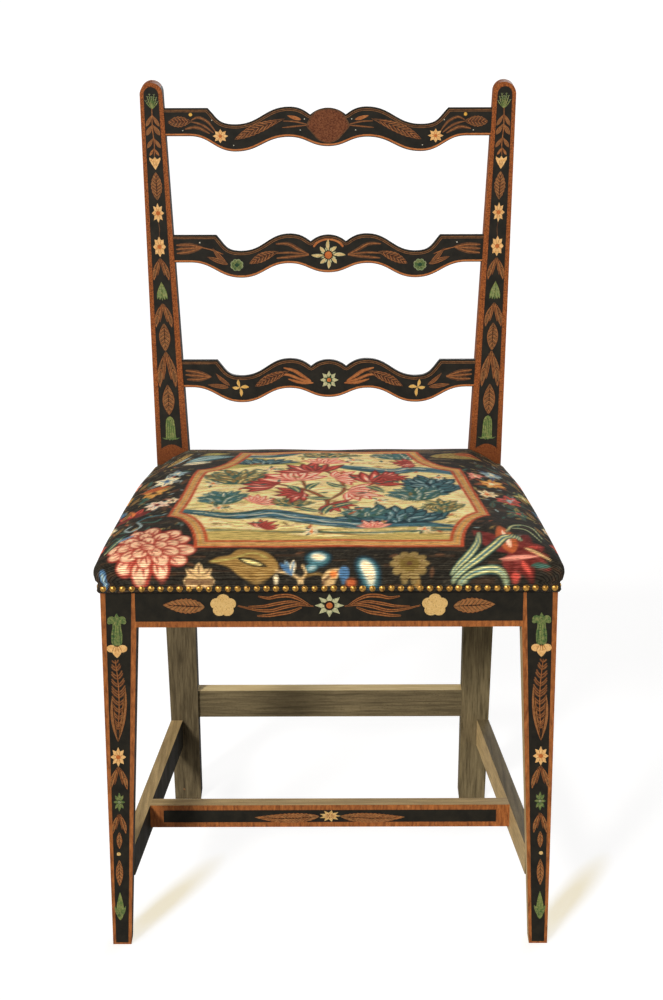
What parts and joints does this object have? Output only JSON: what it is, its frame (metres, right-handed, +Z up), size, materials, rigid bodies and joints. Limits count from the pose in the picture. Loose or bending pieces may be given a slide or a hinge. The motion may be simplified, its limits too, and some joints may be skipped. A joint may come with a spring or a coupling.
{
  "type": "painted ladder-back side chair",
  "caption": "Side chair with a raked ladder back of serpentine rails, tapered legs, stretchers and a stuffed seat nailed over the frame.",
  "frame": {"origin": "on the floor, at the middle of the bottom of the overall box", "axes": "+Z up, -Y to the front of the seat, +X to the sitter's left"},
  "size_m": [0.5336, 0.514, 0.954],
  "materials": {
    "painted_wood": "black panels in brown banding with small leaf and flower ornament, satin old varnish",
    "plain_wood": "olive-brown stained beech, satin old varnish, worn edges",
    "frame_wood": "bare sawn beech, unfinished",
    "webbing": "woven linen and jute webbing, matt",
    "tack_iron": "blued iron tack heads",
    "hessian": "open plain-weave jute, matt",
    "curled_hair": "curled horsehair, matt",
    "linen": "unbleached linen, plain weave, matt",
    "needlework": "wool needlework with flowers on a dark ground, matt ribbed stitches",
    "nail_brass": "old gilt brass, domed, worn bright on top"
  },
  "bodies": {
    "root": {"front_leg_left": "painted_wood", "front_leg_right": "painted_wood", "back_post_left": "painted_wood", "back_post_right": "painted_wood", "crest_rail": "painted_wood", "middle_ladder_rail": "painted_wood", "lower_ladder_rail": "painted_wood", "front_seat_rail": "painted_wood", "cross_stretcher": "painted_wood", "side_seat_rail_left": "plain_wood", "side_seat_rail_right": "plain_wood", "rear_seat_rail": "plain_wood", "side_stretcher_left": "plain_wood", "side_stretcher_right": "plain_wood", "rear_stretcher": "plain_wood", "corner_block_front_left": "frame_wood", "corner_block_front_right": "frame_wood", "corner_block_rear_left": "frame_wood", "corner_block_rear_right": "frame_wood", "long_web_1": "webbing", "long_web_2": "webbing", "long_web_3": "webbing", "cross_web_1": "webbing", "cross_web_2": "webbing", "cross_web_3": "webbing", "web_tacks": "tack_iron", "hessian_sheet": "hessian", "hair_stuffing": "curled_hair", "linen_undercover": "linen", "needlework_cover": "needlework", "brass_nails": "nail_brass"}
  },
  "joints": []
}
